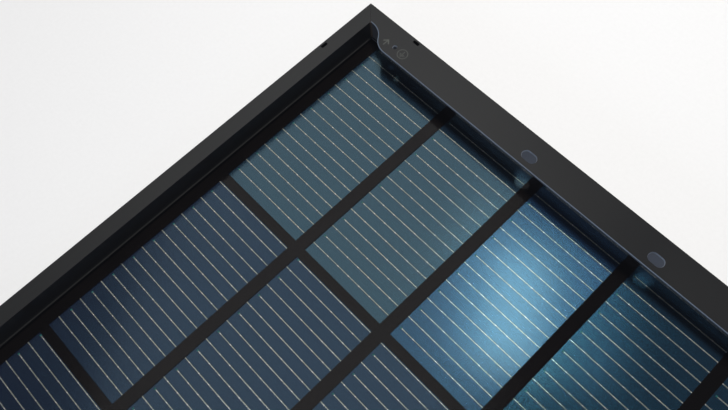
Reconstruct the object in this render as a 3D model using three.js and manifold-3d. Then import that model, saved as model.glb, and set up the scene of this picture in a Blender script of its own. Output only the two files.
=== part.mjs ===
// A framed double-glass photovoltaic module with back-contact half-cut cells, lying face down.
//
// Frame: millimetres, +Z up. The origin is the middle of the front side, so z = 0 is the front face of the
// frame and the mounting flanges are on top. X runs along the long side, Y along the short side. The top
// end of the module, as it is mounted on a roof, is at -X, and its right side seen from behind is at +Y.
import * as THREE from "three";
import { mergeVertices } from "three/addons/utils/BufferGeometryUtils.js";
import Module from "manifold-3d";

// ---- Driving dimensions ----------------------------------------------------------------------------
const MODULE = { length: 1800, width: 1134, height: 30 };

// The frame profile: a groove for the glass with a square tube behind it. Depths are measured inwards
// from the outer face. The long rails have a mounting flange beside the tube.
const PROFILE = {
  wall: 1.4,
  lip: 1.5, // thickness of both lips that hold the glass, and of the flange
  frontLip: 9, // depth of the lip over the front glass
  rearLip: 15.4,
  groove: 6.2, // height of the groove that holds the laminate
  tube: 14.2, // depth of the tube, and so of the short rails' back
  flange: 29.2,
};
const MITRE_SETBACK = 0.1; // each rail stops this far short of the exact mitre

// Cut-outs in the rails, by distance from the end of the rail and depth from its outer face.
const SLOT = { fromEnd: [200, 322.5], depth: 19.2, length: 14, width: 9 };
const EARTH_HOLE = { fromEnd: 48.7, depth: 18.5, radius: 2.1 };
const DRAIN = { fromEnd: 59, near: 1.7, far: 4.3, length: 6.2 };
// The curved step from the narrow flange to the wide one: how far past the corner it starts, and its length.
const NOTCH = { lead: 2.6, run: 28 };

// The laminate: two glass sheets with everything else between them. Heights are from the front face.
const LAMINATE = { inset: 3, base: 2 };
const GLASS = 2;
const FILM = 0.4; // encapsulant film
const CELL = { length: 95.8, width: 182.2, thickness: 0.16 };
const CELL_GAP = { row: 0.9, column: 2 };
const ROWS_PER_HALF = 9;
const COLUMNS = 6;
const END_MARGIN = 22.1; // from the outer face of a short rail to the first cell
const LAYER_GAP = 0.02; // clearance between stacked layers

// The black ceramic print on the rear glass, one window to a cell. It lies a little off the cells.
const PRINT = { rowBar: 11, columnBar: 8.3, thickness: 0.1, shift: { x: -1.75, y: 1.1 }, endBorder: 25.4 };

// Ribbons. One strip across each cell gap stands for all the ribbons that cross it.
const LINK_WIDTH = 120;
const BUS = { width: 5, thickness: 0.3, fromCells: 2.6 };
const TAB = { height: 7.2, spacing: 7.6 }; // a bus ribbon's end, bent up through the glass

// Junction boxes stand on the centre line, over the slots in the rear glass.
const BOX = { length: 88, width: 26, height: 12, wall: 1.6, corner: 4, fillGap: 0.3 };
const LID = { height: 3, skirt: 1.6, overhang: 0.6 };
const ADHESIVE = { height: 0.75, squeeze: 0.9 };
const GLASS_SLOT = { length: 26, width: 9 };
const TERMINAL = { length: 24, width: 12, thickness: 1, fromMiddle: 8, height: 4 };
const DIODE = { length: 13, width: 10, height: 4, lead: 12 };
const GLAND = { height: 5.9, bore: 3.1, spigot: 3.9, collar: 5.4, nut: 5.6 };
const LABEL = { length: 80, width: 20, thickness: 0.15 };

// ---- Derived heights and places --------------------------------------------------------------------
const rowPitch = CELL.length + CELL_GAP.row;
const columnPitch = CELL.width + CELL_GAP.column;
const halfLength = MODULE.length / 2;
const halfWidth = MODULE.width / 2;
const flangeFloor = MODULE.height - PROFILE.lip; // also the top of the tube's chamber
const grooveTop = PROFILE.lip + PROFILE.groove;
const rearLipTop = grooveTop + PROFILE.lip;

const frontGlassTop = LAMINATE.base + GLASS;
const frontFilmBase = frontGlassTop + LAYER_GAP;
const cellBase = frontFilmBase + FILM + LAYER_GAP;
const busTop = cellBase + BUS.thickness;
const rearFilmBase = busTop + LAYER_GAP;
const printBase = rearFilmBase + FILM + LAYER_GAP;
const rearGlassBase = printBase + PRINT.thickness + LAYER_GAP;
const rearGlassTop = rearGlassBase + GLASS;
const boxBase = rearGlassTop + LAYER_GAP + ADHESIVE.height + LAYER_GAP;
const boxTop = boxBase + BOX.height;

const columnCentre = (column) => columnPitch * ((COLUMNS + 1) / 2 - column);
const boxPlaces = { left: -2 * columnPitch, middle: 0, right: 2 * columnPitch };

// ---- Solids ----------------------------------------------------------------------------------------
const wasm = await Module();
wasm.setup();

function toSolid(geometry) {
  const bare = geometry.clone();
  bare.deleteAttribute("normal");
  bare.deleteAttribute("uv");
  const merged = mergeVertices(bare, 1e-4);
  return new wasm.Manifold(
    new wasm.Mesh({
      numProp: 3,
      vertProperties: merged.attributes.position.array,
      triVerts: new Uint32Array(merged.index.array),
    }),
  );
}

function toGeometry(solid) {
  const mesh = solid.getMesh();
  const geometry = new THREE.BufferGeometry();
  geometry.setAttribute("position", new THREE.BufferAttribute(mesh.vertProperties, 3));
  geometry.setIndex(new THREE.BufferAttribute(mesh.triVerts, 1));
  geometry.computeVertexNormals();
  return geometry;
}

const joined = (solids) => solids.reduce((all, one) => all.add(one));
const cut = (solid, cutters) => cutters.reduce((rest, one) => rest.subtract(one), solid);

function block(x0, x1, y0, y1, z0, z1) {
  const geometry = new THREE.BoxGeometry(x1 - x0, y1 - y0, z1 - z0);
  geometry.translate((x0 + x1) / 2, (y0 + y1) / 2, (z0 + z1) / 2);
  return toSolid(geometry);
}

// A block centred on x = 0, y = 0.
const slab = (length, width, z0, z1) => block(-length / 2, length / 2, -width / 2, width / 2, z0, z1);

function prism(shape, z0, z1, curveSegments = 8) {
  const geometry = new THREE.ExtrudeGeometry(shape, {
    depth: z1 - z0,
    bevelEnabled: false,
    curveSegments,
    steps: 1,
  });
  geometry.translate(0, 0, z0);
  return toSolid(geometry);
}

// A round-ended or round-cornered rectangle centred on (x, y), length along X.
function roundedShape(x, y, length, width, radius) {
  const right = x + length / 2 - radius;
  const left = x - length / 2 + radius;
  const up = y + width / 2 - radius;
  const down = y - width / 2 + radius;
  const shape = new THREE.Shape();
  shape.absarc(right, down, radius, -Math.PI / 2, 0);
  shape.absarc(right, up, radius, 0, Math.PI / 2);
  shape.absarc(left, up, radius, Math.PI / 2, Math.PI);
  shape.absarc(left, down, radius, Math.PI, Math.PI * 1.5);
  shape.closePath();
  return shape;
}

// ---- Materials -------------------------------------------------------------------------------------
const material = (color, roughness, metalness, more = {}) =>
  new THREE.MeshStandardMaterial({ color, roughness, metalness, ...more });
const MATERIAL = {
  frame: material(0x3a3a39, 0.45, 0.7),
  key: material(0xa9abad, 0.4, 0.9),
  seal: material(0x141414, 0.8, 0),
  glass: material(0x9fb4b8, 0.05, 0, { transparent: true, opacity: 0.25 }),
  film: material(0xe8ecec, 0.3, 0, { transparent: true, opacity: 0.2 }),
  print: material(0x1c1a19, 0.6, 0),
  cell: material(0x2f4a63, 0.35, 0.1),
  ribbon: material(0xb9bab0, 0.35, 0.9),
  plastic: material(0x17181a, 0.55, 0),
  adhesive: material(0x202020, 0.7, 0),
  potting: material(0x2a2b2c, 0.6, 0),
  copper: material(0xb08d6a, 0.35, 0.9),
  label: material(0xc9cccf, 0.5, 0.2),
};

const panel = new THREE.Group();

function addMesh(name, solid, finish, turn = 0) {
  const mesh = new THREE.Mesh(toGeometry(solid), finish);
  mesh.name = name;
  mesh.rotation.z = turn;
  panel.add(mesh);
}

// ---- Frame -----------------------------------------------------------------------------------------
// The profile in (depth, height), with the tube's chamber as a hole.
function railProfile(flange) {
  const p = PROFILE;
  const back = flange > p.tube ? [[p.tube, flangeFloor], [flange, flangeFloor], [flange, MODULE.height]] : [];
  const outline = [
    [0, 0],
    [p.frontLip, 0],
    [p.frontLip, p.lip],
    [p.wall, p.lip],
    [p.wall, grooveTop],
    [p.rearLip, grooveTop],
    [p.rearLip, rearLipTop],
    [p.tube, rearLipTop],
    ...(back.length ? back : [[p.tube, MODULE.height]]),
    [0, MODULE.height],
  ];
  const inner = p.tube - p.wall;
  const chamber = [
    [p.wall, rearLipTop],
    [inner, rearLipTop],
    [inner, flangeFloor],
    [p.wall, flangeFloor],
  ];
  const toPoint = ([depth, z]) => new THREE.Vector2(depth, z);
  const shape = new THREE.Shape(outline.map(toPoint));
  shape.holes.push(new THREE.Path(chamber.map(toPoint)));
  return shape;
}

// A straight length of profile with its outer face at y = outer, centred on x = 0, cut to its mitres.
function mitredRail(flange, length, outer) {
  const geometry = new THREE.ExtrudeGeometry(railProfile(flange), {
    depth: length,
    bevelEnabled: false,
    steps: 1,
  });
  geometry.translate(0, 0, -length / 2);
  const place = new THREE.Matrix4().set(0, 0, -1, 0, -1, 0, 0, outer, 0, 1, 0, 0, 0, 0, 0, 1);
  geometry.applyMatrix4(place);
  const reach = flange + 5;
  const end = length / 2 - MITRE_SETBACK;
  const mitre = new THREE.Shape([
    new THREE.Vector2(-end - 1, outer + 1),
    new THREE.Vector2(-end + reach, outer - reach),
    new THREE.Vector2(end - reach, outer - reach),
    new THREE.Vector2(end + 1, outer + 1),
  ]);
  return toSolid(geometry).intersect(prism(mitre, -1, MODULE.height + 1));
}

// The part of a wide flange that is cut away at one corner: from the mitre to the S-shaped step.
// Drawn for the corner at -X, +Y, and mirrored by side for the one at +X.
function cornerNotch(side) {
  const narrow = PROFILE.tube;
  const rise = PROFILE.flange - narrow;
  const angle = 2 * Math.atan(rise / NOTCH.run);
  const radius = NOTCH.run / (2 * Math.sin(angle));
  const points = [];
  const stepsPerArc = 8;
  const first = new THREE.Vector2(narrow + NOTCH.lead, narrow);
  for (let i = 0; i <= stepsPerArc; i++) {
    const t = (angle * i) / stepsPerArc;
    points.push([first.x + radius * Math.sin(t), first.y + radius * (1 - Math.cos(t))]);
  }
  for (let i = stepsPerArc - 1; i >= 0; i--) {
    const t = (angle * i) / stepsPerArc;
    points.push([first.x + NOTCH.run - radius * Math.sin(t), first.y + rise - radius * (1 - Math.cos(t))]);
  }
  points.push([first.x + NOTCH.run, PROFILE.flange + 5]);
  points.push([0, PROFILE.flange + 5]);
  points.push([0, narrow]);
  const corners = points.map(
    ([fromEnd, depth]) => new THREE.Vector2(side * (halfLength - fromEnd), halfWidth - depth),
  );
  return prism(new THREE.Shape(corners), flangeFloor - 1, MODULE.height + 1);
}

// A drain hole beside the outer wall, drawn at one end of a rail.
function drainHole(side, length, outer) {
  const middle = side * (length / 2 - DRAIN.fromEnd);
  const [x0, x1] = [middle - DRAIN.length / 2, middle + DRAIN.length / 2];
  return block(x0, x1, outer - DRAIN.far, outer - DRAIN.near, flangeFloor - 1, MODULE.height + 1);
}

function longRail() {
  const cutters = [];
  for (const side of [-1, 1]) {
    for (const fromEnd of SLOT.fromEnd) {
      const x = side * (halfLength - fromEnd);
      const slot = roundedShape(x, halfWidth - SLOT.depth, SLOT.length, SLOT.width, SLOT.width / 2);
      cutters.push(prism(slot, flangeFloor - 1, MODULE.height + 1, 4));
    }
    const hole = new THREE.Shape();
    const x = side * (halfLength - EARTH_HOLE.fromEnd);
    hole.absarc(x, halfWidth - EARTH_HOLE.depth, EARTH_HOLE.radius, 0, Math.PI * 2);
    cutters.push(prism(hole, flangeFloor - 1, MODULE.height + 1, 8));
    cutters.push(drainHole(side, MODULE.length, halfWidth));
    cutters.push(cornerNotch(side));
  }
  return cut(mitredRail(PROFILE.flange, MODULE.length, halfWidth), cutters);
}

function shortRail() {
  const cutters = [-1, 1].map((side) => drainHole(side, MODULE.width, halfLength));
  return cut(mitredRail(PROFILE.tube, MODULE.width, halfLength), cutters);
}

const railPair = longRail();
addMesh("right_rail", railPair, MATERIAL.frame);
addMesh("left_rail", railPair, MATERIAL.frame, Math.PI);
const endPair = shortRail();
addMesh("top_rail", endPair, MATERIAL.frame, Math.PI / 2);
addMesh("bottom_rail", endPair, MATERIAL.frame, -Math.PI / 2);

// Corner keys: an angle pushed into the chambers of two rails.
function cornerKey(sideX, sideY) {
  const clearance = 0.4;
  const leg = 55;
  const near = PROFILE.wall + clearance;
  const far = PROFILE.tube - PROFILE.wall - clearance;
  const angle = [
    [near, near],
    [leg, near],
    [leg, far],
    [far, far],
    [far, leg],
    [near, leg],
  ].map(([fromEnd, depth]) => new THREE.Vector2(sideX * (halfLength - fromEnd), sideY * (halfWidth - depth)));
  return prism(new THREE.Shape(angle), rearLipTop + clearance, flangeFloor - clearance);
}

for (const [endName, sideX] of [["top", -1], ["bottom", 1]]) {
  for (const [sideName, sideY] of [["left", -1], ["right", 1]]) {
    addMesh("corner_key_" + endName + "_" + sideName, cornerKey(sideX, sideY), MATERIAL.key);
  }
}

// ---- Laminate --------------------------------------------------------------------------------------
const sheetLength = MODULE.length - 2 * LAMINATE.inset;
const sheetWidth = MODULE.width - 2 * LAMINATE.inset;

// Cuts a round-ended slot under each junction box, where the bus ribbons come out.
function withBoxSlots(solid, z0, z1) {
  const slots = Object.values(boxPlaces).map((y) => {
    const across = roundedShape(y, 0, GLASS_SLOT.length, GLASS_SLOT.width, GLASS_SLOT.width / 2);
    return prism(across, z0 - 1, z1 + 1, 3).rotate([0, 0, 90]);
  });
  return cut(solid, slots);
}

// A bead of silicone that fills the groove round the laminate, U-shaped in section.
function edgeSeal() {
  const gap = 0.3;
  const skin = 0.05;
  const webDepth = LAMINATE.inset - gap;
  const outerInset = PROFILE.wall + gap;
  const ring = (inset, z0, z1) => slab(MODULE.length - 2 * inset, MODULE.width - 2 * inset, z0, z1);
  const low = PROFILE.lip + skin;
  const high = grooveTop - skin;
  return cut(ring(outerInset, low, high), [
    ring(webDepth, LAMINATE.base - skin, rearGlassTop + skin),
    ring(PROFILE.frontLip - gap, low - 1, LAMINATE.base),
    ring(PROFILE.rearLip - gap, rearGlassTop, high + 1),
  ]);
}

// The ceramic print: a sheet with one window to a cell and a wide bar over the middle.
function blackPrint() {
  const [dx, dy] = [(rowPitch - PRINT.rowBar) / 2, (columnPitch - PRINT.columnBar) / 2];
  const [z0, z1] = [printBase, printBase + PRINT.thickness];
  const firstMiddle = halfLength - PRINT.endBorder + PRINT.shift.x - dx;
  const windows = [];
  for (const side of [-1, 1]) {
    for (let row = 0; row < ROWS_PER_HALF; row++) {
      for (let column = 1; column <= COLUMNS; column++) {
        const x = side * (firstMiddle - rowPitch * row) + PRINT.shift.x;
        const y = columnCentre(column) + PRINT.shift.y;
        windows.push(block(x - dx, x + dx, y - dy, y + dy, z0 - 1, z1 + 1));
      }
    }
  }
  return cut(slab(sheetLength, sheetWidth, z0, z1), windows);
}

addMesh("edge_seal", edgeSeal(), MATERIAL.seal);
addMesh("front_glass", slab(sheetLength, sheetWidth, LAMINATE.base, frontGlassTop), MATERIAL.glass);
const frontFilm = slab(sheetLength, sheetWidth, frontFilmBase, frontFilmBase + FILM);
addMesh("front_encapsulant", frontFilm, MATERIAL.film);
const rearFilm = slab(sheetLength, sheetWidth, rearFilmBase, rearFilmBase + FILM);
addMesh("rear_encapsulant", withBoxSlots(rearFilm, rearFilmBase, rearFilmBase + FILM), MATERIAL.film);
addMesh("black_print", withBoxSlots(blackPrint(), printBase, printBase + PRINT.thickness), MATERIAL.print);
const rearSheet = slab(sheetLength, sheetWidth, rearGlassBase, rearGlassTop);
addMesh("rear_glass", withBoxSlots(rearSheet, rearGlassBase, rearGlassTop), MATERIAL.glass);

// ---- Cell strings and bus ribbons ------------------------------------------------------------------
const firstCell = halfLength - END_MARGIN;
const busInner = firstCell + BUS.fromCells;

// Nine half cells in a row along X, joined by a strip across each gap.
function cellString(side, column) {
  const [cellEdge, linkEdge] = [CELL.width / 2, LINK_WIDTH / 2];
  const edge = [];
  for (let row = 0; row < ROWS_PER_HALF; row++) {
    const outer = firstCell - rowPitch * row;
    const inner = outer - CELL.length;
    edge.push([outer, cellEdge], [inner, cellEdge]);
    if (row < ROWS_PER_HALF - 1) edge.push([inner, linkEdge], [inner - CELL_GAP.row, linkEdge]);
  }
  const opposite = edge.map(([x, dy]) => [x, -dy]).reverse();
  const middle = columnCentre(column);
  const outline = [...edge, ...opposite].map(([x, dy]) => new THREE.Vector2(side * x, middle + dy));
  return prism(new THREE.Shape(outline), cellBase, cellBase + CELL.thickness);
}

for (const [halfName, side] of [["upper", -1], ["lower", 1]]) {
  for (let column = 1; column <= COLUMNS; column++) {
    addMesh("cell_string_" + halfName + "_" + column, cellString(side, column), MATERIAL.cell);
  }
}

// At each end a ribbon turns the current from one column into the next.
for (const [endName, side] of [["top", -1], ["bottom", 1]]) {
  for (let pair = 1; pair <= COLUMNS / 2; pair++) {
    const y0 = columnCentre(2 * pair) - CELL.width / 2;
    const y1 = columnCentre(2 * pair - 1) + CELL.width / 2;
    const [a, b] = [side * busInner, side * (busInner + BUS.width)];
    const strip = block(Math.min(a, b), Math.max(a, b), y0, y1, cellBase, busTop);
    addMesh("end_ribbon_" + endName + "_" + pair, strip, MATERIAL.ribbon);
  }
}

// Along the middle four ribbons gather the columns, and each end by a box is bent up into it.
function centreRibbon(y0, y1, bent) {
  const [t, top] = [BUS.thickness, busTop + TAB.height];
  const outline = [[y0, cellBase], [y1, cellBase]];
  outline.push(...(bent.high ? [[y1, top], [y1 - t, top], [y1 - t, busTop]] : [[y1, busTop]]));
  outline.push(...(bent.low ? [[y0 + t, busTop], [y0 + t, top], [y0, top]] : [[y0, busTop]]));
  const shape = new THREE.Shape(outline.map(([y, z]) => new THREE.Vector2(y, z)));
  const geometry = new THREE.ExtrudeGeometry(shape, { depth: BUS.width, bevelEnabled: false, steps: 1 });
  geometry.translate(0, 0, -BUS.width / 2);
  geometry.applyMatrix4(new THREE.Matrix4().set(0, 0, 1, 0, 1, 0, 0, 0, 0, 1, 0, 0, 0, 0, 0, 1));
  return toSolid(geometry);
}

const upperEdge = columnCentre(1) + CELL.width / 2;
const bothEnds = { low: true, high: true };
const tabsAt = (y) => [y - TAB.spacing, y + TAB.spacing];
const [leftLow, leftHigh] = tabsAt(boxPlaces.left);
const [middleLow, middleHigh] = tabsAt(boxPlaces.middle);
const [rightLow, rightHigh] = tabsAt(boxPlaces.right);
addMesh("centre_ribbon_1", centreRibbon(rightHigh, upperEdge, { low: true }), MATERIAL.ribbon);
addMesh("centre_ribbon_2", centreRibbon(middleHigh, rightLow, bothEnds), MATERIAL.ribbon);
addMesh("centre_ribbon_3", centreRibbon(leftHigh, middleLow, bothEnds), MATERIAL.ribbon);
addMesh("centre_ribbon_4", centreRibbon(-upperEdge, leftLow, { high: true }), MATERIAL.ribbon);

// ---- Junction boxes --------------------------------------------------------------------------------
// Everything in a box is drawn with its length along Y, centred on the box's own place.
const boxOutline = (grow) =>
  roundedShape(0, 0, BOX.length + 2 * grow, BOX.width + 2 * grow, BOX.corner + grow);
const alongY = (solid, y) => solid.rotate([0, 0, 90]).translate([0, y, 0]);
const slotOutline = () => roundedShape(0, 0, GLASS_SLOT.length, GLASS_SLOT.width, GLASS_SLOT.width / 2);

// A short cylinder along Y, for the hole that the gland goes into.
function boreAlongY(radius, y0, y1, z) {
  const geometry = new THREE.CylinderGeometry(radius, radius, y1 - y0, 16);
  geometry.translate(0, (y0 + y1) / 2, z);
  return toSolid(geometry);
}

function boxBaseSolid(y, glandSide) {
  const floor = boxBase + BOX.wall;
  const shell = prism(boxOutline(0), boxBase, boxTop, 2);
  const inside = prism(boxOutline(-BOX.wall), floor, boxTop + 1, 2);
  const slot = prism(slotOutline(), boxBase - 1, floor + 1, 3);
  const tray = alongY(cut(shell, [inside, slot]), y);
  if (!glandSide) return tray;
  const outer = y + (glandSide * BOX.length) / 2;
  const reach = [outer - glandSide * BOX.wall * 2, outer + glandSide];
  const bore = boreAlongY(GLAND.spigot + 0.3, Math.min(...reach), Math.max(...reach), boxBase + GLAND.height);
  return tray.subtract(bore);
}

function boxLid(y) {
  const gap = 0.1;
  const inner = BOX.wall + 0.2;
  const plate = prism(boxOutline(LID.overhang), boxTop + gap, boxTop + gap + LID.height, 2);
  const skirt = prism(boxOutline(-inner), boxTop - LID.skirt, boxTop + gap + 1, 2);
  const hollow = prism(boxOutline(-inner - BOX.wall), boxTop - LID.skirt - 1, boxTop + gap, 2);
  return alongY(joined([plate, skirt]).subtract(hollow), y);
}

function adhesiveBead(y) {
  const z0 = rearGlassTop + LAYER_GAP;
  const bead = prism(boxOutline(ADHESIVE.squeeze), z0, z0 + ADHESIVE.height, 2);
  return alongY(bead.subtract(prism(slotOutline(), z0 - 1, z0 + 2, 3)), y);
}

const terminalBase = boxBase + TERMINAL.height;

// A terminal: a flat plate with a lug, to which the bent-up end of a bus ribbon is soldered.
function terminal(y, side) {
  const near = y + side * TERMINAL.fromMiddle;
  const far = near + side * TERMINAL.length;
  const lugEnd = near + side * TERMINAL.thickness;
  const order = (a, b) => [Math.min(a, b), Math.max(a, b)];
  const [w, t] = [TERMINAL.width / 2, TERMINAL.thickness];
  const plate = block(-w, w, ...order(near, far), terminalBase, terminalBase + t);
  const lug = block(-w / 2, w / 2, ...order(near, lugEnd), terminalBase - 1.6, terminalBase + t);
  return plate.add(lug);
}

// A bypass diode, lying on both terminals with a flat lead to each.
function bypassDiode(y) {
  const z = terminalBase + TERMINAL.thickness + 0.3;
  const [w, l] = [DIODE.width / 2, DIODE.length / 2];
  const reach = l + DIODE.lead;
  const leads = block(-2, 2, y - reach, y + reach, z, z + 0.8);
  return block(-w, w, y - l, y + l, z, z + DIODE.height).add(leads);
}

// Potting compound, poured round the terminals and the diode and open above them.
function potting(y) {
  const floor = boxBase + BOX.wall + BOX.fillGap;
  const top = boxTop - LID.skirt - 1.4;
  const fill = prism(boxOutline(-BOX.wall - BOX.fillGap), floor, top, 2);
  const slot = prism(slotOutline(), floor - 1, top, 3);
  const pocketLength = 2 * (TERMINAL.fromMiddle + TERMINAL.length + BOX.fillGap);
  const pocketWidth = TERMINAL.width + 2 * BOX.fillGap;
  const pocket = slab(pocketLength, pocketWidth, terminalBase - BOX.fillGap, top + 1);
  return alongY(cut(fill, [slot, pocket]), y);
}

// A cable gland, turned about an axis along Y, with its mouth at +Y before it is placed.
function cableGland(y, side) {
  const profile = [
    [GLAND.bore, 0],
    [GLAND.spigot, 0],
    [GLAND.spigot, BOX.wall + 0.3],
    [GLAND.collar, BOX.wall + 0.3],
    [GLAND.collar, 5.4],
    [GLAND.collar - 0.9, 5.4],
    [GLAND.collar - 0.9, 7.6],
    [GLAND.nut, 8.2],
    [GLAND.nut, 14.5],
    [GLAND.nut - 1.2, 17],
    [GLAND.bore, 17],
    [GLAND.bore, 0],
  ];
  const geometry = new THREE.LatheGeometry(
    profile.map(([radius, along]) => new THREE.Vector2(radius, along)),
    16,
  );
  const turned = toSolid(geometry);
  const facing = side > 0 ? turned : turned.rotate([0, 0, 180]);
  return facing.translate([0, y + side * (BOX.length / 2 - BOX.wall), boxBase + GLAND.height]);
}

for (const [name, y] of Object.entries(boxPlaces)) {
  const glandSide = Math.sign(y);
  addMesh("junction_box_" + name, boxBaseSolid(y, glandSide), MATERIAL.plastic);
  addMesh("junction_box_lid_" + name, boxLid(y), MATERIAL.plastic);
  addMesh("box_adhesive_" + name, adhesiveBead(y), MATERIAL.adhesive);
  addMesh("potting_" + name, potting(y), MATERIAL.potting);
  addMesh("bypass_diode_" + name, bypassDiode(y), MATERIAL.plastic);
  addMesh("terminal_" + name + "_a", terminal(y, -1), MATERIAL.copper);
  addMesh("terminal_" + name + "_b", terminal(y, 1), MATERIAL.copper);
  if (glandSide) addMesh("cable_gland_" + name, cableGland(y, glandSide), MATERIAL.plastic);
}

// ---- Rating label, on the bar between two boxes ----------------------------------------------------
const labelBase = rearGlassTop + LAYER_GAP;
const labelMiddle = boxPlaces.right / 2;
const label = block(
  PRINT.shift.x - LABEL.width / 2,
  PRINT.shift.x + LABEL.width / 2,
  labelMiddle - LABEL.length / 2,
  labelMiddle + LABEL.length / 2,
  labelBase,
  labelBase + LABEL.thickness,
);
addMesh("rating_label", label, MATERIAL.label);

export default panel;
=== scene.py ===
"""A framed double-glass solar module, lying face down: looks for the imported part.

Everything is in metres in the row frame: +X along the long side, +Y along the short side, +Z out of the
module's back. The corner that the camera looks at is at -X, +Y.
"""

import math
import random

import bmesh
import bpy
from mathutils import Matrix, Vector


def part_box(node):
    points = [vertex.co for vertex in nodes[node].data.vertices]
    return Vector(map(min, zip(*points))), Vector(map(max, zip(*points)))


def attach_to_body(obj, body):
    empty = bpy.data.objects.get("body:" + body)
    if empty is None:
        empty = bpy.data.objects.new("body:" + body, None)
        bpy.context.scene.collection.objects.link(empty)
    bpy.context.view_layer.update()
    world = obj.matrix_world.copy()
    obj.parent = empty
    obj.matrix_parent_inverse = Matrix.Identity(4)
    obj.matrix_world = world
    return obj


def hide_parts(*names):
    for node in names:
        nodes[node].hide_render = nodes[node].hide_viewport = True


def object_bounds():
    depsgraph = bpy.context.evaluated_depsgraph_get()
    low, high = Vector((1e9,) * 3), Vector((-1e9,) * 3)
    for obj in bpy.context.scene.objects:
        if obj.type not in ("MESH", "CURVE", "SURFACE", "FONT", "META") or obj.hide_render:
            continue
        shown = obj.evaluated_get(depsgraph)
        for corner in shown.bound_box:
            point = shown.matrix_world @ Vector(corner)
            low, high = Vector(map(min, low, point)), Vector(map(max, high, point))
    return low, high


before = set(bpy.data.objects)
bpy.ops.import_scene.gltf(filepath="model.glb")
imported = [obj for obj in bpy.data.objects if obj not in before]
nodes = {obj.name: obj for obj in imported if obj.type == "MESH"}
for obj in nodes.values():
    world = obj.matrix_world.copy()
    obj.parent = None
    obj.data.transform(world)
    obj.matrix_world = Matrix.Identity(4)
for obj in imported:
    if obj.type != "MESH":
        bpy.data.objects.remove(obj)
cad_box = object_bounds()
scene = bpy.context.scene
MM = 0.001

# ---- Places taken from the frame ---------------------------------------------------------------------
low, high = (Vector(corner) for corner in cad_box)
glass_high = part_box("rear_glass")[1]
string_low, string_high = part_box("cell_string_upper_1")

ROWS, COLUMNS = 9, 6
CELL_GAP = 0.9 * MM
row_pitch = (string_high.x - string_low.x + CELL_GAP) / ROWS
cell_length = row_pitch - CELL_GAP
cell_top = string_high.z
RAILS = ("left_rail", "right_rail", "top_rail", "bottom_rail")

# ---- Camera ------------------------------------------------------------------------------------------
corner = Vector((low.x, high.y, high.z))
CAMERA_FROM_CORNER = Vector((339.0, -284.9, 542.8)) * MM
AIM_FROM_CORNER = Vector((127.6, -133.1, -25.0)) * MM
PICTURE_UP = math.radians(136.2)  # azimuth of the direction that points up in the picture
LENS, SENSOR = 37.9, 36.0


def add_camera():
    data = bpy.data.cameras.new("camera")
    data.lens = LENS
    data.sensor_width = SENSOR
    camera = bpy.data.objects.new("camera", data)
    scene.collection.objects.link(camera)
    place = corner + CAMERA_FROM_CORNER
    backward = (place - (corner + AIM_FROM_CORNER)).normalized()
    hint = Vector((math.cos(PICTURE_UP), math.sin(PICTURE_UP), 0))
    right = hint.cross(backward).normalized()
    up = backward.cross(right)
    camera.matrix_world = Matrix.Translation(place) @ Matrix((right, up, backward)).transposed().to_4x4()
    scene.camera = camera


# ---- Lights ------------------------------------------------------------------------------------------
CEILING_TURN = math.radians(31)  # azimuth of the ceiling light's short side
BLACK_LEVEL = (-0.0030, -0.0032, -0.0040)


def link_light(name, size, radiance, color):
    """A rectangle of light of this size, in metres, and of this brightness."""
    data = bpy.data.lights.new(name, "AREA")
    data.shape = "RECTANGLE"
    data.size, data.size_y = size
    data.energy = math.pi * radiance * size[0] * size[1]
    data.color = color
    light = bpy.data.objects.new(name, data)
    scene.collection.objects.link(light)
    return light


def add_softbox(name, place, target, size, radiance, color):
    light = link_light(name, size, radiance, color)
    light.location = place
    light.rotation_euler = (target - place).to_track_quat("-Z", "Y").to_euler()
    return light


def add_ceiling(name, height, along, across, radiance, color):
    """A level rectangle of light, placed by where the glass mirrors it. along and across are its limits as
    slopes from the camera's own mirror image under the glass."""
    across_way = Vector((math.cos(CEILING_TURN), math.sin(CEILING_TURN), 0))
    along_way = Vector((-across_way.y, across_way.x, 0))
    eye = corner + CAMERA_FROM_CORNER
    eye.z = 2 * glass_high.z - eye.z
    reach = height - eye.z
    size = [(limits[1] - limits[0]) * reach for limits in (along, across)]
    middle = [(limits[0] + limits[1]) / 2 * reach for limits in (along, across)]
    light = link_light(name, size, radiance, color)
    light.location = eye + along_way * middle[0] + across_way * middle[1] + Vector((0, 0, reach))
    light.rotation_euler = (0, 0, CEILING_TURN + math.pi / 2)
    return light


def link_to(light, names, state):
    """Limits a light to these pieces, with the state INCLUDE, or keeps it off them, with EXCLUDE."""
    pieces = bpy.data.collections.new(f"linked_to_{light.name}")
    for name in names:
        pieces.objects.link(nodes[name])
    for member in pieces.collection_objects:
        member.light_linking.link_state = state
    light.light_linking.receiver_collection = pieces


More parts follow.
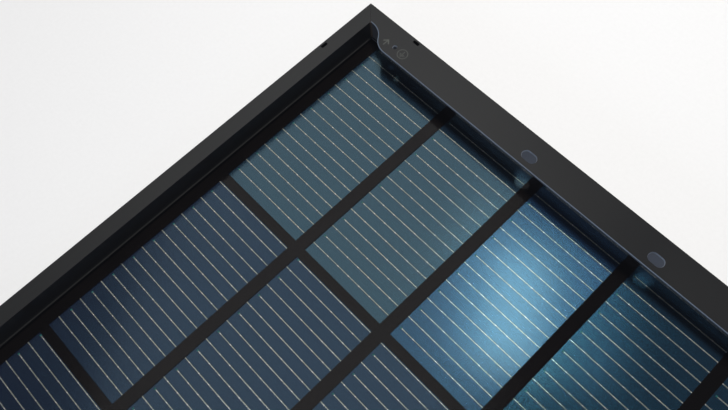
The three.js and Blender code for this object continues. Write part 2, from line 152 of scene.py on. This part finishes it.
def add_lights():
    lit = corner + Vector((280, -120, -25)) * MM
    key_place = lit + Vector((-0.094, 0.255, 1.0)) * 2.0
    key = add_softbox("key", key_place, lit, (0.34, 0.34), 130, (1.0, 0.985, 0.97))
    key.visible_glossy = False
    add_ceiling("ceiling", 2.6, (0.0, 0.85), (-0.46, 0.045), 0.5, (1.0, 1.0, 0.98))
    strip = add_ceiling("strip", 2.5, (0.235, 0.40), (0.02, 0.09), 4.1, (0.84, 1.0, 0.90))
    halo = add_ceiling("halo", 2.55, (0.24, 0.46), (-0.03, 0.19), 0.85, (0.62, 0.86, 1.0))
    for light in (strip, halo):
        light.visible_diffuse = False
        link_to(light, ("rear_glass", "front_glass", "black_print", *RAILS), "EXCLUDE")
    add_softbox("side", lit + Vector((0.2, -2.6, 0.7)), lit, (2.2, 1.0), 2.5, (0.72, 0.82, 1.0))
    wall = corner + Vector((275, -14.2, -11.5)) * MM  # on the right rail's tube, below the slots
    under_place = wall + Vector((0, -0.15, 0))
    under = add_softbox("under_flange", under_place, wall, (0.29, 0.018), 110, (0.66, 0.76, 1.0))
    under.visible_camera = under.visible_glossy = False
    link_to(under, ("right_rail",), "INCLUDE")
    world = bpy.data.worlds.new("studio")
    scene.world = world
    world.use_nodes = True
    background = world.node_tree.nodes["Background"]
    background.inputs["Color"].default_value = (0.75, 0.85, 1.0, 1)
    background.inputs["Strength"].default_value = 0.05
    scene.view_settings.view_transform = "Standard"
    scene.view_settings.use_curve_mapping = True
    scene.view_settings.curve_mapping.black_level = BLACK_LEVEL
    scene.view_settings.curve_mapping.update()


# ---- Node helpers ------------------------------------------------------------------------------------
def add_node(tree, kind, **values):
    """A node with its inputs set by name."""
    node = tree.nodes.new(kind)
    for name, value in values.items():
        node.inputs[name.replace("_", " ")].default_value = value
    return node


def attach(tree, socket, value):
    """Sets a socket to a number or colour, or links it to another socket."""
    if isinstance(value, bpy.types.NodeSocket):
        tree.links.new(value, socket)
    elif isinstance(value, tuple):
        socket.default_value = (*value, 1)
    else:
        socket.default_value = value


def math_node(tree, operation, a, b=0.0):
    node = tree.nodes.new("ShaderNodeMath")
    node.operation = operation
    attach(tree, node.inputs[0], a)
    attach(tree, node.inputs[1], b)
    return node.outputs[0]


def object_axes(tree):
    """X, Y and Z of the object coordinates, in metres."""
    place = tree.nodes.new("ShaderNodeTexCoord")
    split = tree.nodes.new("ShaderNodeSeparateXYZ")
    tree.links.new(place.outputs["Object"], split.inputs[0])
    return split.outputs


def noise(tree, scale, detail=3, stretch=(1, 1, 1)):
    place = tree.nodes.new("ShaderNodeTexCoord")
    mapping = tree.nodes.new("ShaderNodeMapping")
    mapping.inputs["Scale"].default_value = stretch
    tree.links.new(place.outputs["Object"], mapping.inputs["Vector"])
    node = add_node(tree, "ShaderNodeTexNoise", Scale=scale, Detail=detail)
    tree.links.new(mapping.outputs["Vector"], node.inputs["Vector"])
    return node.outputs["Fac"]


def mix_colors(tree, factor, a, b):
    """A colour between a and b, each a tuple or a socket."""
    node = tree.nodes.new("ShaderNodeMix")
    node.data_type = "RGBA"
    attach(tree, node.inputs["Factor"], factor)
    attach(tree, node.inputs[6], a)
    attach(tree, node.inputs[7], b)
    return node.outputs[2]


def map_range(tree, value, from_low, from_high, to_low, to_high):
    node = add_node(
        tree, "ShaderNodeMapRange", From_Min=from_low, From_Max=from_high, To_Min=to_low, To_Max=to_high
    )
    tree.links.new(value, node.inputs["Value"])
    return node.outputs["Result"]


def stripes(tree, axis, pitch, width):
    """1 on lines of this width, in metres, that repeat along an object axis, else 0."""
    phase = math_node(tree, "FRACT", math_node(tree, "DIVIDE", object_axes(tree)[axis], pitch))
    return math_node(tree, "LESS_THAN", phase, width / pitch)


# ---- Materials ---------------------------------------------------------------------------------------
def new_material(name, color, roughness, metallic=0.0):
    """A material with one Principled shader, its node tree, and the shader."""
    mat = bpy.data.materials.new(name)
    mat.use_nodes = True
    shader = mat.node_tree.nodes["Principled BSDF"]
    shader.inputs["Base Color"].default_value = (*color, 1)
    shader.inputs["Roughness"].default_value = roughness
    shader.inputs["Metallic"].default_value = metallic
    return mat, mat.node_tree, shader


def add_bump(tree, shader, height, distance, strength=1.0):
    bump = add_node(tree, "ShaderNodeBump", Strength=strength, Distance=distance)
    tree.links.new(height, bump.inputs["Height"])
    tree.links.new(bump.outputs["Normal"], shader.inputs["Normal"])


def blend(tree, a, b):
    """Six parts of a to four of b."""
    return math_node(tree, "ADD", math_node(tree, "MULTIPLY", a, 0.6), math_node(tree, "MULTIPLY", b, 0.4))


def grained(name, dark, light, roughness, grain=1500, cloud=20, relief=0.02 * MM, metallic=0.0):
    """A surface with fine grain in its colour and relief, and slow changes of gloss between the two values
    of roughness."""
    mat, tree, shader = new_material(name, light, roughness[0], metallic)
    fine = noise(tree, grain, 2)
    slow = noise(tree, cloud, 3)
    color = mix_colors(tree, map_range(tree, blend(tree, fine, slow), 0.3, 0.7, 0, 1), dark, light)
    tree.links.new(color, shader.inputs["Base Color"])
    tree.links.new(map_range(tree, slow, 0.3, 0.7, *roughness), shader.inputs["Roughness"])
    add_bump(tree, shader, fine, relief, 0.5)
    return mat


def set_specular(mat, level):
    mat.node_tree.nodes["Principled BSDF"].inputs["Specular IOR Level"].default_value = level


def anodised():
    dark, light = (0.011, 0.011, 0.0113), (0.019, 0.0188, 0.0182)
    mat = grained("black_anodised", dark, light, (0.31, 0.36), 2600, 9)
    set_specular(mat, 0.85)
    return mat


# A grained metal far lighter than the anodising: its colour is a painted highlight on edges.
def painted_highlight_edge(name, dark, light):
    mat = grained(name, dark, light, (0.3, 0.4), 1800, 30)
    set_specular(mat, 0.6)
    return mat


GLASS_ROUGHNESS = 0.14
GLASS_INDEX = 1.43  # a little low, as for glass with a coat against glare


def add_glass_coat(shader):
    """What the glass above a layer mirrors, as a coat on the layer."""
    shader.inputs["Coat Weight"].default_value = 1.0
    shader.inputs["Coat Roughness"].default_value = GLASS_ROUGHNESS
    shader.inputs["Coat IOR"].default_value = GLASS_INDEX


CELL_TINTS = {  # refractive index, tint of the mirror image, then the two ends of the diffuse colour
    "teal": (2.4, (0.33, 0.75, 0.97), (0.0035, 0.0110, 0.024), (0.0045, 0.0135, 0.026)),
    "blue": (2.5, (0.20, 0.62, 1.0), (0.0040, 0.0130, 0.036), (0.0030, 0.0150, 0.042)),
    "azure": (2.3, (0.12, 0.66, 1.0), (0.0030, 0.0110, 0.024), (0.0040, 0.0140, 0.028)),
    "violet": (1.9, (0.20, 0.61, 1.0), (0.0050, 0.0085, 0.022), (0.0060, 0.0110, 0.024)),
}
FINGER_PITCH = 1.3 * MM
FINGER_WIDTH = 0.25 * MM


def cell_rear(name):
    """The back of a cell: blue coated silicon with fine metal fingers across the ribbons."""
    index, tint, dark, light = CELL_TINTS[name]
    mat, tree, shader = new_material(f"cell_{name}", light, 0.17)
    slow = noise(tree, 14, 2)
    streaks = noise(tree, 60, 2, (0.2, 2.0, 1))
    silicon = mix_colors(tree, map_range(tree, blend(tree, slow, streaks), 0.3, 0.7, 0, 1), dark, light)
    fingers = stripes(tree, 0, FINGER_PITCH, FINGER_WIDTH)
    metal = mix_colors(tree, 0.2, silicon, (0.06, 0.08, 0.08))
    tree.links.new(mix_colors(tree, fingers, silicon, metal), shader.inputs["Base Color"])
    tree.links.new(map_range(tree, slow, 0.3, 0.7, 0.16, 0.19), shader.inputs["Roughness"])
    shader.inputs["IOR"].default_value = index
    shader.inputs["Specular Tint"].default_value = (*tint, 1)
    add_glass_coat(shader)
    return mat


def cell_front():
    """The sunny side of a cell, which has no metal on it: near black, with a faint blue cloud."""
    return grained("cell_front", (0.004, 0.006, 0.012), (0.007, 0.010, 0.02), (0.25, 0.3), 900, 12)


def tinned_copper(name, grain_stretch):
    """Solder-coated copper. Beads of solder along each ribbon are painted lighter: real beads with a painted
    glint on them.
    """
    mat, tree, shader = new_material(name, (0.55, 0.54, 0.46), 0.24, 0.75)
    slow = noise(tree, 90, 2, grain_stretch)
    coat = mix_colors(tree, map_range(tree, slow, 0.35, 0.65, 0, 1), (0.44, 0.47, 0.41), (0.58, 0.60, 0.52))
    # Real solder beads, painted lighter than the coat as a painted glint.
    bead_glints = stripes(tree, 0, 11.9 * MM, 1.3 * MM)
    tree.links.new(mix_colors(tree, bead_glints, coat, (0.85, 0.84, 0.78)), shader.inputs["Base Color"])
    tree.links.new(map_range(tree, slow, 0.35, 0.65, 0.17, 0.24), shader.inputs["Roughness"])
    add_bump(tree, shader, slow, 0.03 * MM, 0.3)
    return mat


def clear_sheet(name, tint, index, roughness, cloud):
    """A thin clear sheet: what is behind it shows through, under a gloss that grows at low angles. The gloss
    that it has when seen straight on is a coat on the layers behind it. Only its outer faces shine."""
    mat = bpy.data.materials.new(name)
    mat.use_nodes = True
    tree = mat.node_tree
    tree.nodes.clear()
    out = tree.nodes.new("ShaderNodeOutputMaterial")
    slow = noise(tree, cloud, 2)
    clear = add_node(tree, "ShaderNodeBsdfTransparent")
    edge = tuple(0.985 * part for part in tint)
    tree.links.new(mix_colors(tree, slow, tint, edge), clear.inputs["Color"])
    gloss = add_node(tree, "ShaderNodeBsdfGlossy")
    tree.links.new(map_range(tree, slow, 0.3, 0.7, *roughness), gloss.inputs["Roughness"])
    fresnel = add_node(tree, "ShaderNodeFresnel", IOR=index)
    side = tree.nodes.new("ShaderNodeNewGeometry")
    outside = math_node(tree, "SUBTRACT", 1.0, side.outputs["Backfacing"])
    mix = tree.nodes.new("ShaderNodeMixShader")
    straight = ((index - 1) / (index + 1)) ** 2
    extra = math_node(tree, "SUBTRACT", fresnel.outputs["Fac"], 1.2 * straight)
    low_angle = math_node(tree, "MAXIMUM", extra)
    tree.links.new(math_node(tree, "MULTIPLY", low_angle, outside), mix.inputs["Fac"])
    tree.links.new(clear.outputs["BSDF"], mix.inputs[1])
    tree.links.new(gloss.outputs["BSDF"], mix.inputs[2])
    tree.links.new(mix.outputs["Shader"], out.inputs["Surface"])
    return mat


def black_print():
    """Matte black ceramic under the glass."""
    mat, tree, shader = new_material("ceramic_print", (0.0025, 0.0024, 0.0025), 0.8)
    fine, slow = noise(tree, 1200, 2), noise(tree, 25, 3)
    shade = math_node(tree, "MULTIPLY", math_node(tree, "ADD", fine, slow), 0.5)
    shades = ((0.0018, 0.0015, 0.0014), (0.0034, 0.0026, 0.0023))
    color = mix_colors(tree, map_range(tree, shade, 0.35, 0.65, 0, 1), *shades)
    tree.links.new(color, shader.inputs["Base Color"])
    shader.inputs["Specular IOR Level"].default_value = 0.0
    add_glass_coat(shader)
    return mat


# ---- Mesh helpers ------------------------------------------------------------------------------------
BOX_FACES = ((0, 2, 3, 1), (4, 5, 7, 6), (0, 1, 5, 4), (1, 3, 7, 5), (3, 2, 6, 7), (2, 0, 4, 6))


def add_box(bm, x_limits, y_limits, z_limits, taper=0.0, material=0, under=None):
    """A box whose top is narrower by taper on both sides in Y. under is its lower face's own material."""
    corners = []
    for z, inset in zip(z_limits, (0.0, taper)):
        for y in (y_limits[0] + inset, y_limits[1] - inset):
            for x in x_limits:
                corners.append(bm.verts.new((x, y, z)))
    for i, indices in enumerate(BOX_FACES):
        face = bm.faces.new([corners[j] for j in indices])
        face.material_index = under if i == 0 and under is not None else material


def add_prism(bm, outline, bottom, top, material=0):
    """A closed prism over a counter-clockwise outline of (x, y) points."""
    count = len(outline)
    lower = [bm.verts.new((x, y, bottom)) for x, y in outline]
    upper = [bm.verts.new((x, y, top)) for x, y in outline]
    faces = [bm.faces.new(lower[::-1]), bm.faces.new(upper)]
    for i in range(count):
        j = (i + 1) % count
        faces.append(bm.faces.new((lower[i], lower[j], upper[j], upper[i])))
    for face in faces:
        face.material_index = material


def add_ring(bm, outer, inner, bottom, top, material=0, inner_bottom=None):
    """A closed ring between two outlines with the same number of (x, y) points. inner_bottom is the inner
    outline at the bottom, where that is another one."""
    count = len(outer)
    lines = ((outer, bottom), (outer, top), (inner_bottom or inner, bottom), (inner, top))
    rows = [[bm.verts.new((x, y, z)) for x, y in line] for line, z in lines]
    outer_low, outer_high, inner_low, inner_high = rows
    for i in range(count):
        j = (i + 1) % count
        sides = (
            (outer_low[i], outer_low[j], outer_high[j], outer_high[i]),
            (inner_low[j], inner_low[i], inner_high[i], inner_high[j]),
            (outer_high[i], outer_high[j], inner_high[j], inner_high[i]),
            (outer_low[j], outer_low[i], inner_low[i], inner_low[j]),
        )
        for side in sides:
            bm.faces.new(side).material_index = material


def circle(x, y, radius, count):
    turns = (2 * math.pi * i / count for i in range(count))
    return [(x + radius * math.cos(turn), y + radius * math.sin(turn)) for turn in turns]


def rounded(x_limits, y_limits, radius, steps=5):
    """The outline of a rectangle with round corners, counter-clockwise."""
    points = []
    for i, (cx, cy) in enumerate(((1, 1), (0, 1), (0, 0), (1, 0))):
        x = x_limits[cx] - (2 * cx - 1) * radius
        y = y_limits[cy] - (2 * cy - 1) * radius
        for step in range(steps + 1):
            turn = math.pi / 2 * (i + step / steps)
            points.append((x + radius * math.cos(turn), y + radius * math.sin(turn)))
    return points


def finish_piece(bm, name, materials):
    mesh = bpy.data.meshes.new(name)
    bm.to_mesh(mesh)
    bm.free()
    for mat in materials:
        mesh.materials.append(mat)
    piece = bpy.data.objects.new(name, mesh)
    scene.collection.objects.link(piece)
    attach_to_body(piece, "root")
    return piece


def set_material(names, *mats):
    for name in names:
        nodes[name].data.materials.clear()
        for mat in mats:
            nodes[name].data.materials.append(mat)


# ---- Cells and ribbons -------------------------------------------------------------------------------
RIBBONS_PER_CELL = 18
RIBBON_PITCH = 10.33 * MM
RIBBON = {"width": 0.9 * MM, "height": 0.12 * MM, "taper": 0.2 * MM}
SHORT_START = 6.6 * MM  # from the edge of a cell to the end of every other ribbon
PAD = {"length": 1.4 * MM, "width": 1.5 * MM, "height": 0.04 * MM}
TINT_NAMES = list(CELL_TINTS)
FIRST_COLUMN_TINTS = ("teal", "teal", "blue", "azure", "azure", "teal", "blue", "teal", "azure")


def tint_of(rng, half, column, row):
    """The tint of one cell. Those by the corner in view are set one by one, and the rest are drawn."""
    drawn = rng.choice(("violet", "violet", "blue", "azure"))
    if half == "upper" and column == 1:
        return TINT_NAMES.index(FIRST_COLUMN_TINTS[row])
    if half == "upper" and column <= 3 and row <= 3:
        return TINT_NAMES.index("violet")
    return TINT_NAMES.index(drawn)


def add_cells(rng, half, side, column, mats):
    """One string of cells with the ribbons on their backs. side is -1 at the -X end."""
    node = f"cell_string_{half}_{column}"
    lo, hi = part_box(node)
    outer = hi.x if side > 0 else lo.x
    middle = (lo.y + hi.y) / 2
    cells, strips = bmesh.new(), bmesh.new()
    half_width, half_pad = RIBBON["width"] / 2, PAD["width"] / 2
    for row in range(ROWS):
        start = outer - side * row_pitch * row
        end = start - side * cell_length
        tint = tint_of(rng, half, column, row)
        add_box(cells, sorted((start, end)), (lo.y, hi.y), (lo.z, hi.z), 0, tint, len(TINT_NAMES))
        for i in range(RIBBONS_PER_CELL):
            y = middle + (i - (RIBBONS_PER_CELL - 1) / 2) * RIBBON_PITCH
            is_long = (i + row + column) % 2 == 1
            begin = start + side * CELL_GAP / 2 if is_long else start - side * SHORT_START
            spread = sorted((begin, end - side * CELL_GAP * 0.45))
            heights = (cell_top, cell_top + RIBBON["height"])
            add_box(strips, spread, (y - half_width, y + half_width), heights, RIBBON["taper"])
            if not is_long:
                near = sorted((begin + side * 0.1 * MM, begin + side * PAD["length"]))
                pad_heights = (cell_top, cell_top + PAD["height"])
                add_box(strips, near, (y - half_pad, y + half_pad), pad_heights, 0, 1)
    cell_mats = [mats[f"cell_{name}"] for name in TINT_NAMES] + [mats["front"]]
    piece = finish_piece(cells, f"cells_{half}_{column}", cell_mats)
    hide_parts(node)
    finish_piece(strips, f"ribbons_{half}_{column}", [mats["ribbon"], mats["pad"]])


FILM_RIM = 12 * MM


def add_film_rim(face, mat):
    """The edge of one encapsulant film. Bonded between glass and cells, the rest of it can't be seen."""
    node = f"{face}_encapsulant"
    lo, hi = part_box(node)
    outer = [(lo.x, lo.y), (hi.x, lo.y), (hi.x, hi.y), (lo.x, hi.y)]
    x0, x1, y0, y1 = lo.x + FILM_RIM, hi.x - FILM_RIM, lo.y + FILM_RIM, hi.y - FILM_RIM
    bm = bmesh.new()
    add_ring(bm, outer, [(x0, y0), (x1, y0), (x1, y1), (x0, y1)], lo.z, hi.z)
    rim = finish_piece(bm, f"film_rim_{face}", [mat])
    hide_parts(node)


# ---- Marks and seals on the frame --------------------------------------------------------------------
EARTH_SIGN = {"from_end": 58.6 * MM, "depth": 19.2 * MM, "radius": 4.9 * MM, "line": 0.6 * MM}
EARTH_BARS = ((-0.6, 2.7), (-1.7, 1.7), (-2.8, 0.7))  # height and half length of each bar, in mm
MARK_HEIGHT = 0.03 * MM
ARROW_PLACE = (39.4, 23.4)  # the arrow's tail, from the end of the rail and from its outer face, in mm
ARROW = (
    (-0.5, 0), (0.5, 0), (0.5, 5.0), (2.7, 2.8), (3.5, 3.6), (0, 7.3), (-3.5, 3.6), (-2.7, 2.8), (-0.5, 5.0)
)


def add_earth_signs(mat):
    """The international earth sign in a ring, and a plain arrow that stands for a mark which can't be read,
    near both ends of both long rails."""
    sign = EARTH_SIGN
    half_line = sign["line"] / 2
    for end_name, end in (("top", -1), ("bottom", 1)):
        for side_name, side in (("left", -1), ("right", 1)):
            x = end * (high.x - sign["from_end"])
            y = side * (high.y - sign["depth"])
            limits = (high.z - MARK_HEIGHT, high.z + MARK_HEIGHT)
            bm = bmesh.new()
            rings = (circle(x, y, sign["radius"], 40), circle(x, y, sign["radius"] - sign["line"], 40))
            add_ring(bm, *rings, *limits)
            stem = sorted((y + side * 3.1 * MM, y - side * 0.6 * MM))
            add_box(bm, (x - half_line, x + half_line), stem, limits)
            for height, half_length in EARTH_BARS:
                bar = y + side * height * MM
                wide = (x - half_length * MM, x + half_length * MM)
                add_box(bm, wide, (bar - half_line, bar + half_line), limits)
            from_end, depth = ARROW_PLACE
            arrow = []
            for across, outward in ARROW:
                arrow_x = end * (high.x - (from_end + across) * MM)
                arrow_y = side * (high.y - (depth - outward) * MM)
                arrow.append((arrow_x, arrow_y))
            add_prism(bm, arrow, *limits)
            bmesh.ops.recalc_face_normals(bm, faces=bm.faces)
            finish_piece(bm, f"earth_sign_{end_name}_{side_name}", [mat])


TUBE_DEPTH, FLANGE_DEPTH, FLANGE_THICKNESS = 14.2 * MM, 29.2 * MM, 1.5 * MM
NOTCH = {"lead": 2.6 * MM, "run": 28 * MM}
EDGE = {"width": 0.8 * MM, "proud": 0.02 * MM}


def notch_curve(steps=8):
    """The S-shaped end of a long flange, as (distance from the end, depth from the outer face)."""
    rise = FLANGE_DEPTH - TUBE_DEPTH
    angle = 2 * math.atan(rise / NOTCH["run"])
    radius = NOTCH["run"] / (2 * math.sin(angle))
    start = TUBE_DEPTH + NOTCH["lead"]
    points = [(TUBE_DEPTH + 0.3 * MM, TUBE_DEPTH)]
    for step in range(steps + 1):
        turn = angle * step / steps
        points.append((start + radius * math.sin(turn), TUBE_DEPTH + radius * (1 - math.cos(turn))))
    for step in range(steps - 1, -1, -1):
        turn = angle * step / steps
        points.append(
            (start + NOTCH["run"] - radius * math.sin(turn), FLANGE_DEPTH - radius * (1 - math.cos(turn)))
        )
    return points


def add_flange_edges(mat):
    """The rounded edge along the inner side of each long flange, a bead over the flange's corner, whose
    light bluish colour is a painted highlight.
    """
    curve = notch_curve()
    for name, side in (("left", -1), ("right", 1)):
        path = [(low.x + from_end, side * (high.y - depth)) for from_end, depth in curve]
        path += [(-x, y) for x, y in reversed(path)]
        bm = bmesh.new()
        rows = []
        for i, (x, y) in enumerate(path):
            before, after = Vector(path[max(i - 1, 0)]), Vector(path[min(i + 1, len(path) - 1)])
            ahead = (after - before).normalized()
            inward = Vector((-ahead.y, ahead.x)) * -side
            across = [
                (-EDGE["proud"], high.z - FLANGE_THICKNESS),
                (-EDGE["proud"], high.z - 0.25 * MM),
                (0.2 * MM, high.z + EDGE["proud"]),
                (EDGE["width"], high.z + EDGE["proud"]),
                (EDGE["width"], high.z - 0.1 * MM),
                (0.1 * MM, high.z - FLANGE_THICKNESS),
            ]
            rows.append([bm.verts.new((x - inward.x * d, y - inward.y * d, z)) for d, z in across])
        count = len(rows[0])
        for near, far in zip(rows, rows[1:]):
            for i in range(count):
                j = (i + 1) % count
                bm.faces.new((near[i], far[i], far[j], near[j]))
        bm.faces.new(rows[0])
        bm.faces.new(rows[-1][::-1])
        bmesh.ops.recalc_face_normals(bm, faces=bm.faces)
        finish_piece(bm, f"flange_edge_{name}", [mat])


SLOT = {"from_end": (200 * MM, 322.5 * MM), "depth": 19.2 * MM, "reach": (7 * MM, 4.5 * MM)}
EARTH_HOLE = {"from_end": 48.7 * MM, "depth": 18.5 * MM, "radius": 2.1 * MM}
LINING = (0.05 * MM, -0.02 * MM, -0.5 * MM)  # outside, inside at the top, inside at the bottom


def add_slot_edges(mat):
    """The cut edge round each mounting slot and earth hole, as a thin lining of its wall. Its light bluish
    colour is partly bare cut metal and partly a painted highlight. Punched from the back, it narrows a
    little with depth."""
    bottom, top = high.z - FLANGE_THICKNESS, high.z - 0.06 * MM
    for end_name, end in (("top", -1), ("bottom", 1)):
        for side_name, side in (("left", -1), ("right", 1)):
            bm = bmesh.new()
            for from_end in SLOT["from_end"]:
                x, y = end * (high.x - from_end), side * (high.y - SLOT["depth"])
                lines = []
                for grow in LINING:
                    along, across = (reach + grow for reach in SLOT["reach"])
                    lines.append(rounded((x - along, x + along), (y - across, y + across), across, 8))
                add_ring(bm, lines[0], lines[1], bottom, top, inner_bottom=lines[2])
            x, y = end * (high.x - EARTH_HOLE["from_end"]), side * (high.y - EARTH_HOLE["depth"])
            lines = [circle(x, y, EARTH_HOLE["radius"] + grow, 16) for grow in LINING]
            add_ring(bm, lines[0], lines[1], bottom, top, inner_bottom=lines[2])
            finish_piece(bm, f"slot_edges_{end_name}_{side_name}", [mat])


def add_corner_seals(mat):
    """A run of sealant down each inner corner of the frame, where two rails meet."""
    top = high.z - 0.6 * MM
    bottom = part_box("rear_glass")[1].z + 2.2 * MM
    for end_name, end in (("top", -1), ("bottom", 1)):
        for side_name, side in (("left", -1), ("right", 1)):
            x = end * (high.x - TUBE_DEPTH)
            y = side * (high.y - TUBE_DEPTH)
            reach = 1.5 * MM
            arc = []
            for step in range(5):
                turn = math.pi / 2 * step / 4
                arc_x = x - end * reach * (1 - math.sin(turn))
                arc_y = y - side * reach * (1 - math.cos(turn))
                arc.append((arc_x, arc_y))
            outline = [(x, y), *arc]
            area = sum(a[0] * b[1] - b[0] * a[1] for a, b in zip(outline, outline[1:] + outline[:1]))
            bm = bmesh.new()
            add_prism(bm, outline if area > 0 else outline[::-1], bottom, top)
            finish_piece(bm, f"corner_seal_{end_name}_{side_name}", [mat])


# ---- Junction boxes and label ------------------------------------------------------------------------
def add_lid_details(mat):
    """A raised rim, grip ribs and moulding marks on each junction box lid."""
    for which in ("left", "middle", "right"):
        lo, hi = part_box(f"junction_box_lid_{which}")
        heights = (hi.z - 0.1 * MM, hi.z + 0.5 * MM)
        bm = bmesh.new()
        rims = []
        for inset, radius in ((2.2 * MM, 3.0 * MM), (3.4 * MM, 1.8 * MM)):
            rims.append(rounded((lo.x + inset, hi.x - inset), (lo.y + inset, hi.y - inset), radius))
        add_ring(bm, *rims, *heights)
        middle = (lo + hi) / 2
        for end in (-1, 1):
            for step in range(5):
                x = middle.x + end * (18 + 3 * step) * MM
                sides = (middle.y - 6 * MM, middle.y + 6 * MM)
                add_box(bm, (x - 0.5 * MM, x + 0.5 * MM), sides, heights)
            mark = circle(middle.x + end * 36 * MM, middle.y, 1.6 * MM, 16)
            add_prism(bm, mark, hi.z - 0.1 * MM, hi.z + 0.2 * MM)
        finish_piece(bm, f"lid_details_{which}", [mat])


def add_label_lines(mat):
    """An empty table on the rating label: lines only."""
    lo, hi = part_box("rating_label")
    limits = (hi.z - 0.02 * MM, hi.z + 0.02 * MM)
    left, right = lo.x + 2 * MM, hi.x - 2 * MM
    back, front = lo.y + 1.5 * MM, hi.y - 1.5 * MM
    line = 0.2 * MM
    bm = bmesh.new()
    for step in range(7):
        y = back + (front - back) * step / 6
        add_box(bm, (left, right), (y - line / 2, y + line / 2), limits)
    for share in (0.0, 0.36, 0.5, 0.86, 1.0):
        x = left + (right - left) * share
        add_box(bm, (x - line / 2, x + line / 2), (back, front), limits)
    finish_piece(bm, "label_lines", [mat])


# ---- Build -------------------------------------------------------------------------------------------
add_camera()
add_lights()

frame_metal = anodised()
# Painted highlight: light bluish colour for the light caught on each long flange's rounded inner edge.
edge_highlight_metal = painted_highlight_edge("anodised_edge", (0.076, 0.100, 0.135), (0.112, 0.146, 0.198))
# Partly bare cut metal, partly painted highlight: light bluish colour for light caught on the slot and hole
# walls.
punched_edge_highlight = painted_highlight_edge("punched_edge", (0.17, 0.19, 0.23), (0.24, 0.27, 0.32))
set_material(RAILS, frame_metal)
for name in RAILS:
    bevel = nodes[name].modifiers.new("edge", "BEVEL")
    bevel.width = 0.3 * MM
    bevel.segments = 2
    bevel.limit_method = "ANGLE"
    bevel.angle_limit = math.radians(40)

set_material(["rear_glass"], clear_sheet("rear_glass", (0.985, 0.98, 0.98), 1.5, (0.11, 0.15), 30))
set_material(["front_glass"], clear_sheet("front_glass", (0.97, 0.985, 0.98), 1.5, (0.06, 0.09), 30))
film = clear_sheet("clear_film", (0.99, 0.99, 0.985), 1.02, (0.3, 0.4), 60)
set_material(["black_print"], black_print())

box_plastic = grained(
    "moulded_plastic", (0.010, 0.010, 0.011), (0.018, 0.018, 0.019), (0.42, 0.55), 1800, 60
)
gland_plastic = grained("nylon", (0.012, 0.012, 0.012), (0.02, 0.02, 0.021), (0.35, 0.45), 2400, 80)
silicone = grained("silicone", (0.012, 0.012, 0.013), (0.03, 0.03, 0.032), (0.5, 0.65), 500, 120, 0.15 * MM)
potting = grained("potting_gel", (0.03, 0.033, 0.036), (0.05, 0.053, 0.058), (0.2, 0.32), 700, 60)
epoxy = grained("epoxy_body", (0.008, 0.008, 0.009), (0.016, 0.016, 0.016), (0.35, 0.5), 2500, 200)
seal = grained("butyl_seal", (0.006, 0.006, 0.006), (0.014, 0.013, 0.012), (0.55, 0.75), 600, 90, 0.1 * MM)
cast = grained(
    "cast_aluminium", (0.42, 0.42, 0.43), (0.6, 0.6, 0.61), (0.4, 0.55), 900, 60, metallic=0.9
)
paper = grained("label_film", (0.62, 0.63, 0.64), (0.7, 0.7, 0.7), (0.35, 0.5), 1500, 40)
ink = grained("label_ink", (0.02, 0.02, 0.02), (0.04, 0.04, 0.04), (0.4, 0.5), 1500, 40)
engraved = grained("engraved_mark", (0.055, 0.058, 0.053), (0.08, 0.083, 0.076), (0.35, 0.45), 2600, 60)
sealant = grained(
    "corner_sealant", (0.05, 0.036, 0.026), (0.13, 0.10, 0.075), (0.25, 0.4), 400, 150, 0.2 * MM
)
pad = grained("bare_pad", (0.008, 0.06, 0.055), (0.015, 0.10, 0.09), (0.3, 0.4), 1500, 300)

set_material(["edge_seal"], seal)
set_material([name for name in nodes if name.startswith("corner_key")], cast)
set_material([name for name in nodes if name.startswith("junction_box")], box_plastic)
set_material([name for name in nodes if name.startswith("box_adhesive")], silicone)
set_material([name for name in nodes if name.startswith("potting")], potting)
set_material([name for name in nodes if name.startswith("bypass_diode")], epoxy)
set_material([name for name in nodes if name.startswith("cable_gland")], gland_plastic)
set_material(["rating_label"], paper)
busbar = tinned_copper("tinned_busbar", (1, 1, 1))
set_material([name for name in nodes if "_ribbon_" in name or name.startswith("terminal")], busbar)

string_mats = {f"cell_{name}": cell_rear(name) for name in CELL_TINTS}
string_mats.update(front=cell_front(), ribbon=tinned_copper("tinned_ribbon", (0.3, 3, 1)), pad=pad)
rng = random.Random(7)
for half, side in (("upper", -1), ("lower", 1)):
    for column in range(1, COLUMNS + 1):
        add_cells(rng, half, side, column, string_mats)
for face in ("front", "rear"):
    add_film_rim(face, film)
add_flange_edges(edge_highlight_metal)
add_slot_edges(punched_edge_highlight)
add_earth_signs(engraved)
add_corner_seals(sealant)
add_lid_details(box_plastic)
add_label_lines(ink)

floor_mesh = bpy.data.meshes.new("floor")
bm = bmesh.new()
bmesh.ops.create_grid(bm, x_segments=1, y_segments=1, size=4)
bm.to_mesh(floor_mesh)
bm.free()
floor = bpy.data.objects.new("floor", floor_mesh)
floor.location.z = low.z - 0.5 * MM
paint = grained("pale_floor", (0.785, 0.785, 0.785), (0.81, 0.81, 0.81), (0.6, 0.75), 300, 2, 0.1 * MM)
floor_mesh.materials.append(paint)
scene.collection.objects.link(floor)
